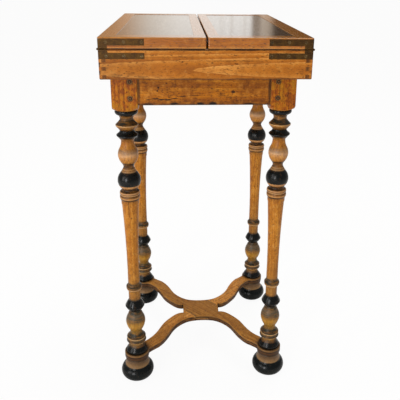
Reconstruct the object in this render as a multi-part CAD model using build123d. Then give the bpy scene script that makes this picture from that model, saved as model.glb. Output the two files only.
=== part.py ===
from build123d import *
import math
import os

# A folding chess table, shown closed. Four turned legs stand on bun feet and are tied by a
# serpentine cross stretcher and a pegged apron frame. The frame carries a shallow dovetailed case
# that holds the chessboard and two wells for the men, and two hinged leaves close over it.
# Millimetres, Z up. The origin is on the floor under the middle of the table. The front faces -Y.

# Overall sizes
table_height = 760.0
top_width = 360.0
top_length = 500.0

# Leaves
leaf_thickness = 19.0
leaf_seam = 3.0
leaf_rest_gap = 0.8
outer_stile_width = 28.0
inner_stile_width = 20.0
leaf_rail_width = 30.0
bridle_tongue = 6.0
panel_drop = 0.6
panel_tongue = 6.0
panel_tongue_depth = 6.0
groove_slack = 0.5
leaf_top_round = 1.4

# Case and what it holds
case_depth = 50.2
case_board = 12.0
case_bottom_board = 8.0
tail_count = 4
tail_width = 6.5
tail_edge = 4.6
tail_flare = 1.2
case_lower_round = 2.0
corner_round = 2.2
rim_round = 0.9
border_width = 31.7
squares_per_side = 8
square_thickness = 2.5
ground_thickness = 9.0
board_play = 0.3
board_drop = 0.8
divider_thickness = 8.0
divider_drop = 0.5
bearer_section = 12.0

# Legs, feet and stretcher
side_overhang = 8.0
end_overhang = 78.0
leg_block = 48.0
leg_block_height = 75.5
leg_shoulder_height = 13.0
leg_girth = 22.8
block_arris_round = 1.5
dowel_radius = 9.0
dowel_length = 40.0
dowel_play = 0.05
dowel_end_gap = 1.0
foot_height = 51.0
foot_radius = 35.5
stretcher_thickness = 15.0
pad_radius = 26.5
arm_width = 28.0
crossing_width = 87.0
crossing_depth = 67.0
crotch_width = 34.0
lap_half_width = 34.0
lap_play = 0.1
pad_blend = 6.0
stretcher_round = 2.5

# Apron frame
apron_height = 63.6
apron_thickness = 20.0
apron_setback = 2.0
apron_round = 1.2
tenon_thickness = 8.0
tenon_length = 24.0
tenon_shoulder = 8.0
peg_radius = 3.7
peg_play = 0.05
peg_length = 22.0
peg_proud = 0.6
peg_inset = 13.3
peg_rise = 13.6
peg_spacing = 31.0
batten_section = 16.0
case_screw_radius = 2.0
case_screw_head_radius = 4.0
case_screw_head = 3.0
case_screw_sink = 3.0
case_screw_bite = 5.0
case_screw_inset = 40.0

# Hinges
plate_thickness = 3.0
strap_length = 76.0
leaf_strap_width = 11.3
leaf_strap_margin = 2.2
case_strap_width = 10.4
case_strap_drop = 5.6
hinge_leg_width = 15.5
hinge_axis_out = 0.3
eye_radius = 1.8
eye_play = 0.3
eye_lap_gap = 0.2
pin_radius = 0.8
pin_play = 0.05
screw_first_inset = 13.3
screw_last_margin = 4.5
screw_head_radius = 2.9
screw_head_height = 1.6
screw_shank_radius = 1.5
screw_length = 11.0
screw_play = 0.05
slot_width = 0.8
slot_depth = 0.7
slot_turn = 37.0

# Worked out from the sizes above
half_width = top_width / 2
half_length = top_length / 2
leaf_underside = table_height - leaf_thickness
rim_height = leaf_underside - leaf_rest_gap
base_height = rim_height - case_depth
stretcher_top = foot_height + stretcher_thickness
turning_height = base_height - leg_block_height - stretcher_top
hinge_axis_x = half_width + hinge_axis_out
hinge_axis_height = rim_height + leaf_rest_gap / 2
eye_thickness = (plate_thickness - eye_lap_gap) / 2
inner_x = half_width - case_board
inner_y = half_length - case_board
board_half = inner_x - board_play
divider_face = board_half + board_play
board_top = rim_height - board_drop
field_half = board_half - border_width
square_side = field_half * 2 / squares_per_side
leg_spread_x = top_width - 2 * side_overhang - leg_block
leg_spread_y = top_length - 2 * end_overhang - leg_block

# A row of a turning is a straight run to (radius, height), or an arc through its first pair to its
# second, in shares of the turning's girth and height, from the foot up.
leg_turning_shares = (
    # black foot ring and the bell above it
    (0.93, 0.0),
    (1.0, 0.006, 0.95, 0.012),
    (0.79, 0.022, 0.63, 0.033),
    # lower ring, hollowed round its rim, and neck
    (0.64, 0.035),
    (0.79, 0.043, 0.88, 0.048),
    (0.93, 0.051, 0.9, 0.054),
    (0.86, 0.06, 0.89, 0.065),
    (0.9, 0.067, 0.85, 0.07),
    (0.68, 0.078, 0.57, 0.087),
    (0.55, 0.094, 0.63, 0.104),
    # lower baluster
    (0.81, 0.12, 0.91, 0.139),
    (0.85, 0.156, 0.68, 0.171),
    (0.65, 0.176, 0.61, 0.179),
    (0.54, 0.183, 0.49, 0.189),
    # black ring, plain waist and thin ring
    (0.71, 0.198, 0.86, 0.209),
    (0.89, 0.212, 0.85, 0.215),
    (0.74, 0.226, 0.56, 0.237),
    (0.54, 0.24),
    (0.54, 0.277),
    (0.58, 0.281),
    (0.68, 0.286),
    (0.72, 0.292, 0.71, 0.3),
    (0.62, 0.304, 0.54, 0.314),
    # long tapered shaft and its collar
    (0.57, 0.49, 0.73, 0.644),
    (0.77, 0.648),
    (0.78, 0.662),
    (0.81, 0.665),
    (0.88, 0.673, 0.83, 0.683),
    (0.88, 0.69, 0.83, 0.696),
    (0.68, 0.699),
    (0.62, 0.704, 0.69, 0.709),
    # black ball and its flare
    (0.76, 0.711),
    (1.0, 0.735, 0.83, 0.762),
    (0.61, 0.775, 0.45, 0.788),
    (0.46, 0.794, 0.54, 0.801),
    (0.57, 0.803),
    # upper baluster
    (0.77, 0.817, 0.87, 0.833),
    (0.83, 0.848, 0.68, 0.862),
    (0.58, 0.874, 0.55, 0.889),
    # sharp ring, upper ring and neck
    (0.6, 0.892),
    (0.86, 0.905),
    (0.91, 0.908, 0.87, 0.911),
    (0.7, 0.917, 0.6, 0.925),
    (0.64, 0.927),
    (0.89, 0.94),
    (0.94, 0.943, 0.9, 0.948),
    (0.73, 0.955, 0.58, 0.963),
    (0.57, 0.971, 0.66, 0.979),
    # black ring under the block
    (0.82, 0.983),
    (0.96, 0.991, 0.89, 1.0),
)

# The rounded lower end of the square block, in shares of the block's half diagonal and of the
# shoulder's height.
shoulder_shares = ((0.61, 0.0), (0.87, 0.36, 1.01, 1.0))

# Bun foot: black bun, cove and bead.
foot_turning_shares = (
    (0.68, 0.0),
    (1.0, 0.30, 0.81, 0.58),
    (0.79, 0.59),
    (0.70, 0.73, 0.66, 0.89),
    (0.69, 0.90),
    (0.71, 0.95, 0.68, 1.0),
)

# The bends of a stretcher arm: places on its middle line, along and across the line from the
# crossing to the leg, in shares of that line's length.
arm_bend_shares = (
    (0.258, 0.055),
    (0.373, 0.067),
    (0.478, 0.053),
    (0.626, 0.0),
    (0.774, -0.029),
)

# Where the middle line ends at the pad: back from the leg's axis and across, in shares of the pad's
# radius.
arm_end_shares = (0.8056, -0.1343)

# Hinge corners and leg corners as signs of X and Y
corners = {
    "front_left": (-1, -1),
    "front_right": (1, -1),
    "back_left": (-1, 1),
    "back_right": (1, 1),
}
sides = {"left": -1, "right": 1}


def block(x0, x1, y0, y1, z0, z1):
    """A box given by its faces."""
    return Pos((x0 + x1) / 2, (y0 + y1) / 2, (z0 + z1) / 2) * Box(abs(x1 - x0), abs(y1 - y0), z1 - z0)


def post(x, y, z0, z1, radius):
    """An upright cylinder."""
    return Pos(x, y, (z0 + z1) / 2) * Cylinder(radius, z1 - z0)


def barrel(x, z, y0, y1, radius):
    """A cylinder that lies front to back."""
    return Pos(x, (y0 + y1) / 2, z) * Rot(90, 0, 0) * Cylinder(radius, y1 - y0)


def slab(points, z0, z1):
    """A flat plate with the given outline."""
    return Pos(0, 0, z0) * extrude(make_face(Polyline(*points, close=True)), z1 - z0)


def placed(shape, x_sign, y_sign):
    """A shape modelled at the front right, mirrored to another corner."""
    if x_sign < 0:
        shape = mirror(shape, about=Plane.YZ)
    if y_sign > 0:
        shape = mirror(shape, about=Plane.XZ)
    return shape


def turned(girth, bottom, height, shares):
    """A turned solid about Z, from the rows of a turning."""

    def at(radius_share, height_share):
        return (girth * radius_share, 0, bottom + height * height_share)

    here = at(0, 0)
    edges = []
    for row in shares:
        end = at(row[-2], row[-1])
        if len(row) == 4:
            edges.append(ThreePointArc(here, at(row[0], row[1]), end))
        else:
            edges.append(Line(here, end))
        here = end
    top = at(0, shares[-1][-1])
    edges.append(Line(here, top))
    edges.append(Line(top, at(0, 0)))
    return revolve(make_face(edges), Axis.Z)


def softened(width, length, bottom, top, upper_round, lower_round):
    """A box about the Z axis with worn arrises, which pieces joined at its corners are cut to."""
    body = block(-width / 2, width / 2, -length / 2, length / 2, bottom, top)
    body = fillet(body.edges().filter_by(Axis.Z), corner_round)
    body = fillet(body.edges().group_by(Axis.Z)[-1], upper_round)
    return fillet(body.edges().group_by(Axis.Z)[0], lower_round)


# Feet
def foot(x_sign, y_sign):
    x = x_sign * leg_spread_x / 2
    y = y_sign * leg_spread_y / 2
    body = Pos(x, y, 0) * turned(foot_radius, 0, foot_height, foot_turning_shares)
    socket_bottom = stretcher_top - dowel_length - dowel_end_gap
    return body - post(x, y, socket_bottom, foot_height, dowel_radius + dowel_play)


# Apron frame, modelled as the front apron and turned to each side
def apron_frame_place(turn):
    """Half the clear span and the outer reach of the frame on one side."""
    if turn % 180 == 0:
        return leg_spread_x / 2 - leg_block / 2, leg_spread_y / 2 + leg_block / 2
    return leg_spread_y / 2 - leg_block / 2, leg_spread_x / 2 + leg_block / 2


def apron(turn):
    clear, reach = apron_frame_place(turn)
    face = -(reach - apron_setback)
    bottom = base_height - apron_height
    board = block(-clear, clear, face, face + apron_thickness, bottom, base_height)
    board = fillet(board.edges().filter_by(Axis.X).group_by(Axis.Z)[0], apron_round)
    middle = face + apron_thickness / 2
    tenon = block(
        -clear - tenon_length,
        clear + tenon_length,
        middle - tenon_thickness / 2,
        middle + tenon_thickness / 2,
        bottom + tenon_shoulder,
        base_height - tenon_shoulder,
    )
    return Rot(0, 0, turn) * (board + tenon)


def apron_pegs(turn, play):
    clear, reach = apron_frame_place(turn)
    bottom = base_height - apron_height
    pegs = []
    for x_sign in sides.values():
        for rise in (peg_rise, peg_rise + peg_spacing):
            peg = barrel(
                x_sign * (clear + peg_inset),
                bottom + rise,
                -reach - peg_proud,
                -reach + peg_length,
                peg_radius + play,
            )
            pegs.append(Rot(0, 0, turn) * peg)
    return pegs


def batten(turn):
    clear, reach = apron_frame_place(turn)
    back = -(reach - apron_setback) + apron_thickness
    strip = block(-clear, clear, back, back + batten_section, base_height - batten_section, base_height)
    return Rot(0, 0, turn) * strip


def batten_screws(turn, play):
    clear, reach = apron_frame_place(turn)
    y = -(reach - apron_setback) + apron_thickness + batten_section / 2
    underside = base_height - batten_section
    head_top = underside + case_screw_sink + case_screw_head
    screws = []
    for x_sign in sides.values():
        x = x_sign * (clear - case_screw_inset)
        head = post(x, y, underside + case_screw_sink, head_top, case_screw_head_radius + play)
        shank = post(x, y, head_top, base_height + case_screw_bite, case_screw_radius + play)
        screws.append(Rot(0, 0, turn) * (head + shank))
    return screws


def batten_screw_ways(turn):
    """The counterbores under the heads."""
    clear, reach = apron_frame_place(turn)
    y = -(reach - apron_setback) + apron_thickness + batten_section / 2
    underside = base_height - batten_section
    ways = []
    for x_sign in sides.values():
        x = x_sign * (clear - case_screw_inset)
        way = post(x, y, underside, underside + case_screw_sink, case_screw_head_radius + screw_play)
        ways.append(Rot(0, 0, turn) * way)
    return ways


# Legs
def leg(x_sign, y_sign):
    x = x_sign * leg_spread_x / 2
    y = y_sign * leg_spread_y / 2
    half = leg_block / 2
    diagonal = half * math.sqrt(2)
    block_bottom = base_height - leg_block_height
    turning = turned(leg_girth, stretcher_top, turning_height, leg_turning_shares)
    square = block(-half, half, -half, half, block_bottom, base_height)
    square = fillet(square.edges().filter_by(Axis.Z), block_arris_round)
    shoulder = turned(diagonal, block_bottom, leg_shoulder_height, shoulder_shares)
    upper = post(0, 0, block_bottom + leg_shoulder_height, base_height, diagonal)
    dowel = post(0, 0, stretcher_top - dowel_length, stretcher_top, dowel_radius)
    return Pos(x, y, 0) * (turning + (square & (shoulder + upper)) + dowel)


# Stretcher
def arm_edges():
    """The outer and inner edge points of one arm, set off from its middle line."""
    span = math.hypot(leg_spread_x, leg_spread_y) / 2
    middle = [(0, 0)] + [(span * u, span * v) for u, v in arm_bend_shares]
    end_back, end_across = arm_end_shares
    middle += [(span - pad_radius * end_back, pad_radius * end_across), (span, 0)]
    along = Vector(leg_spread_x, leg_spread_y).normalized()
    across = Vector(along.Y, -along.X)
    outer = []
    inner = []
    for before, here, after in zip(middle, middle[1:], middle[2:]):
        run = Vector(after[0] - before[0], after[1] - before[1]).normalized()
        centre = along * here[0] + across * here[1]
        normal = across * run.X - along * run.Y
        outer.append(centre + normal * (arm_width / 2))
        inner.append(centre - normal * (arm_width / 2))
    return along, outer, inner


def stretcher_outline():
    along, outer, inner = arm_edges()
    side = Vector(crossing_width / 2, 0)
    crotch = Vector(crossing_width / 2, crotch_width / 2)
    middle = Vector(0, crossing_depth / 2)
    outer_edge = Spline(crotch, *outer)
    inner_edge = Spline(middle, *inner, tangents=[(1, 0), (along.X, along.Y)])
    quarter = make_face([
        Line((0, 0), side),
        Line(side, crotch),
        outer_edge,
        Line(outer[-1], inner[-1]),
        inner_edge,
        Line(middle, (0, 0)),
    ])
    half_outline = quarter + mirror(quarter, about=Plane.YZ)
    outline = half_outline + mirror(half_outline, about=Plane.XZ)
    for x_sign, y_sign in corners.values():
        outline += Pos(x_sign * leg_spread_x / 2, y_sign * leg_spread_y / 2) * Circle(pad_radius)
    return outline


def stretcher_halves():
    """The two members: each runs corner to corner and is halved where they cross."""
    body = Pos(0, 0, foot_height) * extrude(stretcher_outline(), stretcher_thickness)
    upright = body.edges().filter_by(Axis.Z)
    body = fillet([edge for edge in upright if abs(edge.center().X) > crossing_width], pad_blend)
    body = fillet(body.edges().group_by(Axis.Z)[-1], stretcher_round)
    body = fillet(body.edges().group_by(Axis.Z)[0], stretcher_round)
    for x_sign, y_sign in corners.values():
        x = x_sign * leg_spread_x / 2
        y = y_sign * leg_spread_y / 2
        body -= post(x, y, foot_height, stretcher_top, dowel_radius + dowel_play)
    lap_height = foot_height + stretcher_thickness / 2
    reach = leg_spread_x + leg_spread_y
    turn = math.degrees(math.atan2(leg_spread_y, leg_spread_x))
    strip = block(-reach, reach, -lap_half_width, lap_half_width, foot_height, stretcher_top)
    falling = Rot(0, 0, -turn) * strip
    rising = Rot(0, 0, turn) * strip
    wide = block(
        -reach, reach, -lap_half_width - lap_play, lap_half_width + lap_play, foot_height, stretcher_top
    )
    falling_wide = Rot(0, 0, -turn) * wide
    rising_wide = Rot(0, 0, turn) * wide
    below = block(-reach, reach, -reach, reach, foot_height, lap_height)
    above = block(-reach, reach, -reach, reach, lap_height, stretcher_top)
    upper = (body & falling) - (rising_wide & below)
    lower = (body & rising) - (falling_wide & above)
    return upper, lower


# Case
def case_tails(y_sign, play):
    """The dovetails at one end of the right side board."""
    pitch = (case_depth - 2 * tail_edge) / (tail_count - 1)
    tails = []
    for index in range(tail_count):
        middle = base_height + tail_edge + pitch * index
        root = tail_width / 2 - tail_flare + play
        tip = tail_width / 2 + play
        outline = Polyline(
            (inner_x, y_sign * inner_y, middle - root),
            (inner_x, y_sign * half_length, middle - tip),
            (inner_x, y_sign * half_length, middle + tip),
            (inner_x, y_sign * inner_y, middle + root),
            close=True,
        )
        tails.append(extrude(make_face(outline), case_board, dir=(1, 0, 0)))
    return tails


def case_envelope():
    return softened(top_width, top_length, base_height, rim_height, rim_round, case_lower_round)


def case_side(x_sign):
    board = block(inner_x, half_width, -inner_y, inner_y, base_height, rim_height)
    for y_sign in (-1, 1):
        for tail in case_tails(y_sign, 0):
            board += tail
    board = placed(board, x_sign, -1)
    return board & case_envelope()


def case_end(y_sign):
    board = block(-half_width, half_width, -half_length, -inner_y, base_height, rim_height)
    for tail in case_tails(-1, 0):
        board -= tail
        board -= mirror(tail, about=Plane.YZ)
    if y_sign > 0:
        board = mirror(board, about=Plane.XZ)
    return board & case_envelope()


def well_divider(y_sign):
    near = y_sign * divider_face
    far = y_sign * (divider_face + divider_thickness)
    bottom = base_height + case_bottom_board
    return block(-inner_x, inner_x, min(near, far), max(near, far), bottom, rim_height - divider_drop)


def board_bearers():
    top = board_top - square_thickness - ground_thickness
    strips = []
    for x_sign in sides.values():
        inner = x_sign * (inner_x - bearer_section)
        outer = x_sign * inner_x
        strips.append(block(
            min(inner, outer), max(inner, outer), -divider_face, divider_face, top - bearer_section, top
        ))
    return strips


def board_ground():
    top = board_top - square_thickness
    return block(-board_half, board_half, -board_half, board_half, top - ground_thickness, top)


def board_border():
    """Four mitred strips round the squares."""
    points = (
        (-board_half, -board_half),
        (board_half, -board_half),
        (field_half, -field_half),
        (-field_half, -field_half),
    )
    strip = slab(points, board_top - square_thickness, board_top)
    return [Rot(0, 0, 90 * quarter) * strip for quarter in range(4)]


def board_squares(dark):
    squares = []
    for column in range(squares_per_side):
        for row in range(squares_per_side):
            if (column + row) % 2 == dark:
                x = column * square_side - field_half
                y = row * square_side - field_half
                squares.append(block(
                    x, x + square_side, y, y + square_side, board_top - square_thickness, board_top
                ))
    return squares


# Leaves, modelled on the right and mirrored to the left
def leaf_envelope():
    width = half_width - leaf_seam / 2
    body = softened(width, top_length, leaf_underside, table_height, leaf_top_round, rim_round)
    return Pos(leaf_seam / 2 + width / 2, 0, 0) * body


def leaf_members():
    """The mitred frame, bridle-jointed at its corners, and the panel in its groove."""
    seam = leaf_seam / 2
    inner_edge = seam + inner_stile_width
    outer_edge = half_width - outer_stile_width
    rail_edge = half_length - leaf_rail_width
    middle = leaf_underside + leaf_thickness / 2
    low = middle - bridle_tongue / 2
    high = middle + bridle_tongue / 2
    depth = panel_tongue_depth + groove_slack
    groove = block(
        inner_edge - depth,
        outer_edge + depth,
        -rail_edge - depth,
        rail_edge + depth,
        middle - panel_tongue / 2,
        middle + panel_tongue / 2,
    )
    outer_points = (
        (half_width, -half_length),
        (half_width, half_length),
        (outer_edge, rail_edge),
        (outer_edge, -rail_edge),
    )
    inner_points = (
        (seam, -half_length),
        (inner_edge, -rail_edge),
        (inner_edge, rail_edge),
        (seam, half_length),
    )
    rail_points = (
        (seam, -half_length),
        (half_width, -half_length),
        (outer_edge, -rail_edge),
        (inner_edge, -rail_edge),
    )
    outer_tongue = block(outer_edge, half_width, -half_length, half_length, low, high)
    inner_tongue = block(seam, inner_edge, -half_length, half_length, low, high)
    outer_stile = slab(outer_points, leaf_underside, table_height) + outer_tongue
    inner_stile = slab(inner_points, leaf_underside, table_height) + inner_tongue
    front_rail = slab(rail_points, leaf_underside, table_height) - outer_tongue - inner_tongue
    frame = {
        "outer_stile": outer_stile,
        "inner_stile": inner_stile,
        "front_rail": front_rail,
        "back_rail": mirror(front_rail, about=Plane.XZ),
    }
    envelope = leaf_envelope()
    members = {name: (piece - groove) & envelope for name, piece in frame.items()}
    field = block(
        inner_edge, outer_edge, -rail_edge, rail_edge, leaf_underside + panel_drop, table_height - panel_drop
    )
    tongue = block(
        inner_edge - panel_tongue_depth,
        outer_edge + panel_tongue_depth,
        -rail_edge - panel_tongue_depth,
        rail_edge + panel_tongue_depth,
        middle - panel_tongue / 2,
        middle + panel_tongue / 2,
    )
    members["panel"] = field + tongue
    return members


# Hinges, modelled at the front right corner
def plate_blank(strap_low, strap_high, leg_low, leg_high):
    """A flat L: a strap along the board and a leg that runs to the joint."""
    back = -half_length + plate_thickness
    strap = block(half_width - strap_length, half_width, -half_length, back, strap_low, strap_high)
    upright = block(half_width - hinge_leg_width, half_width, -half_length, back, leg_low, leg_high)
    return strap + upright


def leaf_plate_blank():
    high = table_height - leaf_strap_margin
    low = high - leaf_strap_width
    return plate_blank(low, high, leaf_underside, high)


def case_plate_blank():
    high = rim_height - case_strap_drop
    low = high - case_strap_width
    return plate_blank(low, high, low, rim_height)


def hinge_plate(blank, envelope, eye_front, eye_back, clear_front, clear_back):
    """A plate with its half-lapped eye on the hinge axis."""
    plate = blank & envelope
    clearance = barrel(hinge_axis_x, hinge_axis_height, clear_front, clear_back, eye_radius + eye_play)
    eye = barrel(hinge_axis_x, hinge_axis_height, eye_front, eye_back, eye_radius)
    bore = barrel(
        hinge_axis_x, hinge_axis_height, -half_length, -half_length + plate_thickness, pin_radius + pin_play
    )
    return plate - clearance + eye - bore


def leaf_hinge_plate():
    front = -half_length
    back = front + plate_thickness
    return hinge_plate(
        leaf_plate_blank(), leaf_envelope(), front, front + eye_thickness, front + eye_thickness, back
    )


def case_hinge_plate():
    front = -half_length
    back = front + plate_thickness
    return hinge_plate(
        case_plate_blank(), case_envelope(), back - eye_thickness, back, front, back - eye_thickness
    )


def hinge_pin():
    return barrel(
        hinge_axis_x, hinge_axis_height, -half_length, -half_length + plate_thickness, pin_radius
    )


def strap_screw_places():
    """Distances of a plate's screws from the table's side."""
    last = strap_length - screw_last_margin
    return (screw_first_inset, (screw_first_inset + last) / 2, last)


def strap_screws(height, play, slotted):
    front = -half_length
    screws = []
    for index, inset in enumerate(strap_screw_places()):
        x = half_width - inset
        shank = barrel(x, height, front, front + screw_length, screw_shank_radius + play)
        cone = Cone(screw_shank_radius + play, screw_head_radius + play, screw_head_height)
        head = Pos(x, front + screw_head_height / 2, height) * Rot(90, 0, 0) * cone
        screw = shank + head
        if slotted:
            across = Box(screw_head_radius * 3, slot_depth * 2, slot_width)
            screw -= Pos(x, front, height) * Rot(0, slot_turn * (index + 1), 0) * across
        screws.append(screw)
    return screws


def leaf_screws(play, slotted):
    return strap_screws(table_height - leaf_strap_margin - leaf_strap_width / 2, play, slotted)


def case_screws(play, slotted):
    return strap_screws(rim_height - case_strap_drop - case_strap_width / 2, play, slotted)


def without(piece, cutters):
    for cutter in cutters:
        piece -= cutter
    return piece


# Put the table together
parts = {}

turns = {"front": 0, "right": 90, "back": 180, "left": 270}
aprons = {name: apron(turn) for name, turn in turns.items()}
peg_holes = [hole for turn in turns.values() for hole in apron_pegs(turn, peg_play)]
screw_holes = [hole for turn in turns.values() for hole in batten_screws(turn, screw_play)]
screw_ways = [way for turn in turns.values() for way in batten_screw_ways(turn)]

for name, (x_sign, y_sign) in corners.items():
    parts["leg_" + name] = without(leg(x_sign, y_sign), list(aprons.values()) + peg_holes)
    parts["foot_" + name] = foot(x_sign, y_sign)
for name, board in aprons.items():
    parts["apron_" + name] = without(board, peg_holes)
parts["stretcher_upper_half"], parts["stretcher_lower_half"] = stretcher_halves()
parts["tenon_pegs"] = Compound([peg for turn in turns.values() for peg in apron_pegs(turn, 0)])
parts["apron_battens"] = Compound([
    without(batten(turn), screw_holes + screw_ways) for turn in turns.values()
])
parts["case_fixing_screws"] = Compound([
    screw for turn in turns.values() for screw in batten_screws(turn, 0)
])

case_cutters = []
for x_sign, y_sign in corners.values():
    case_cutters.append(placed(case_plate_blank(), x_sign, y_sign))
    case_cutters += [placed(screw, x_sign, y_sign) for screw in case_screws(screw_play, False)]
for name, x_sign in sides.items():
    parts["case_" + name] = without(case_side(x_sign), case_cutters)
parts["case_front"] = without(case_end(-1), case_cutters)
parts["case_back"] = without(case_end(1), case_cutters)
parts["case_bottom"] = without(
    block(-inner_x, inner_x, -inner_y, inner_y, base_height, base_height + case_bottom_board),
    screw_holes,
)
parts["well_divider_front"] = well_divider(-1)
parts["well_divider_back"] = well_divider(1)
parts["board_bearers"] = Compound(board_bearers())
parts["board_ground"] = board_ground()
parts["board_border"] = Compound(board_border())
parts["board_light_squares"] = Compound(board_squares(0))
parts["board_dark_squares"] = Compound(board_squares(1))

leaf_cutters = []
for y_sign in (-1, 1):
    leaf_cutters.append(placed(leaf_plate_blank(), 1, y_sign))
    leaf_cutters += [placed(screw, 1, y_sign) for screw in leaf_screws(screw_play, False)]
members = leaf_members()
leaf_plate = without(leaf_hinge_plate(), leaf_screws(screw_play, False))
case_plate = without(case_hinge_plate(), case_screws(screw_play, False))
for name, x_sign in sides.items():
    for member, piece in members.items():
        parts[name + "_leaf_" + member] = placed(without(piece, leaf_cutters), x_sign, -1)
    parts[name + "_leaf_front_hinge_plate"] = placed(leaf_plate, x_sign, -1)
    parts[name + "_leaf_back_hinge_plate"] = placed(leaf_plate, x_sign, 1)
    parts[name + "_leaf_hinge_screws"] = Compound([
        placed(screw, x_sign, y_sign) for y_sign in (-1, 1) for screw in leaf_screws(0, True)
    ])
for name, (x_sign, y_sign) in corners.items():
    parts["case_hinge_plate_" + name] = placed(case_plate, x_sign, y_sign)
parts["hinge_pins"] = Compound([placed(hinge_pin(), *signs) for signs in corners.values()])
parts["case_hinge_screws"] = Compound([
    placed(screw, *signs) for signs in corners.values() for screw in case_screws(0, True)
])

os.makedirs("parts", exist_ok=True)
for name, shape in parts.items():
    export_step(shape, f"parts/{name}.step")
print(len(parts), "pieces written")
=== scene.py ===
# %% [markdown]
# # An old folding chess table
# The table is oak, waxed to a golden brown, with rings, balls and feet stained black. All its wood
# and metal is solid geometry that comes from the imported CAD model, so this lesson is mostly about
# finishes: how to give each piece its grain, its polish, its grime and its wear with nodes alone.
# The first cell loads the table. Every piece of it is in metres, with its place in its mesh.

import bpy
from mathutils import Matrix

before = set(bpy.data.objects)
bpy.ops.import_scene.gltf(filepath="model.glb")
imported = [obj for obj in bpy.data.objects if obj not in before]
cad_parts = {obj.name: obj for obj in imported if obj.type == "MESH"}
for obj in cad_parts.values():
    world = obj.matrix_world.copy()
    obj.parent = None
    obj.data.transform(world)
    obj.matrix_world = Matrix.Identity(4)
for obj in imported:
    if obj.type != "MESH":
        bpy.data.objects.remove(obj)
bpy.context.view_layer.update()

# %% Libraries and units
import math

import bmesh
import bpy
from mathutils import Matrix, Vector

MM = 0.001
scene = bpy.context.scene
scene.view_settings.view_transform = "Standard"
print("a millimetre is", MM, "of a metre, and colours show as", scene.view_settings.view_transform)

# %% [markdown]
# ## Camera
# The picture is taken from a little above the top and left of the middle, 0.9 m in front of the
# case. The lens looks down, and a small shift keeps the legs nearly upright, as a photographer of
# furniture would do. The place and the turn come from lining up the corners of the case, the rings
# of the legs and the feet.

# %% Camera
CAMERA_PLACE_MM = (-49.21, -1159.13, 866.36)
CAMERA_YAW = 0.08376       # radians to the right, then down, then round the lens
CAMERA_PITCH = 0.33814
CAMERA_ROLL = 0.01489
FOCAL_PIXELS = 541.88
PICTURE_PIXELS = 400
SENSOR_MM = 36.0
SHIFT = (-0.055, -0.10)    # in widths of the picture

camera_data = bpy.data.cameras.new("camera")
camera_data.sensor_width = SENSOR_MM
camera_data.lens = FOCAL_PIXELS * SENSOR_MM / PICTURE_PIXELS
camera_data.shift_x, camera_data.shift_y = SHIFT
camera = bpy.data.objects.new("camera", camera_data)
camera.location = [v * MM for v in CAMERA_PLACE_MM]
look_down = Matrix.Rotation(math.pi / 2 - CAMERA_PITCH, 3, "X")
look = Matrix.Rotation(-CAMERA_YAW, 3, "Z") @ look_down @ Matrix.Rotation(CAMERA_ROLL, 3, "Z")
camera.rotation_euler = look.to_euler("XYZ")
scene.collection.objects.link(camera)
scene.camera = camera
print("lens", round(camera_data.lens, 2), "mm")

# %% [markdown]
# ## Two small tools
# Colours are written as the hex codes that a picture editor shows. A shader works in linear
# light, so one function turns them. A second one adds a node, sets it, links it and gives back
# what it puts out: every material below is built with these two.

# %% Colours and nodes
def linear(hex_code):
    """Linear light from #RRGGBB, or from #RRGGBBAA, where AA says how strongly a layer covers."""
    values = [int(hex_code[i:i + 2], 16) / 255 for i in range(1, len(hex_code), 2)]
    cover = values[3:] or [1.0]
    return [v / 12.92 if v <= 0.04045 else ((v + 0.055) / 1.055) ** 2.4 for v in values[:3]] + cover


def add_node(tree, kind, inputs=None, stops=None, **settings):
    """Adds a node and gives back its outputs. An input gets a value, or the socket to follow."""
    node = tree.nodes.new(kind)
    node.location = (len(tree.nodes) * 180, 0)
    for name, value in settings.items():
        setattr(node, name, value)
    for key, value in (inputs or {}).items():
        if isinstance(value, bpy.types.NodeSocket):
            tree.links.new(value, node.inputs[key])
        else:
            node.inputs[key].default_value = value
    if stops:
        steps = node.color_ramp.elements
        while len(steps) < len(stops):
            steps.new(1.0)
        for step, (place, colour) in zip(steps, stops):
            step.position = place
            step.color = linear(colour)
    return node.outputs


print("the grey #808080 is", round(linear("#808080")[0], 3), "in linear light")

# %% [markdown]
# ## Studio
# A pale floor and an even white room show the wood as it is. The room gives more than half of the
# light, so colours render nearly as they are written. A window on the left and a softbox at the
# front left give the turnings their bright and their dark side, and a softbox high behind lifts
# the back.
# What the gloss mirrors is set apart. A white card stands behind the table, with a tan one to
# its left and a dark one to its right, and the varnished panels mirror all three at a low
# angle. Everywhere else a gloss sees an even grey, so that black stays black.

# %% Floor
FLOOR_GLOW = 0.93      # how much of the white that the camera sees is glow, which no shadow reaches
FLOOR_REACH_M = 30.0   # from the middle to an edge, which is past what any view shows
floor_mesh = bpy.data.meshes.new("studio_floor")
sheet = bmesh.new()
bmesh.ops.create_grid(sheet, x_segments=1, y_segments=1, size=FLOOR_REACH_M)
sheet.to_mesh(floor_mesh)
sheet.free()
studio_floor = bpy.data.objects.new("studio_floor", floor_mesh)
scene.collection.objects.link(studio_floor)

floor_paint = bpy.data.materials.new("matt_white_floor")
floor_paint.use_nodes = True
tree = floor_paint.node_tree
tree.nodes.clear()
matt = add_node(tree, "ShaderNodeBsdfDiffuse", {"Color": linear("#F2F1EF")})
glow = add_node(tree, "ShaderNodeEmission", {"Color": linear("#FFFFFF"), "Strength": 1.0})
rays = add_node(tree, "ShaderNodeLightPath")
seen = add_node(
    tree, "ShaderNodeMath", {0: rays["Is Camera Ray"], 1: FLOOR_GLOW}, operation="MULTIPLY"
)
shade = add_node(tree, "ShaderNodeMixShader", {0: seen[0], 1: matt[0], 2: glow[0]})
add_node(tree, "ShaderNodeOutputMaterial", {"Surface": shade[0]})
floor_mesh.materials.append(floor_paint)
print("floor", 2 * FLOOR_REACH_M, "m wide")

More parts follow.
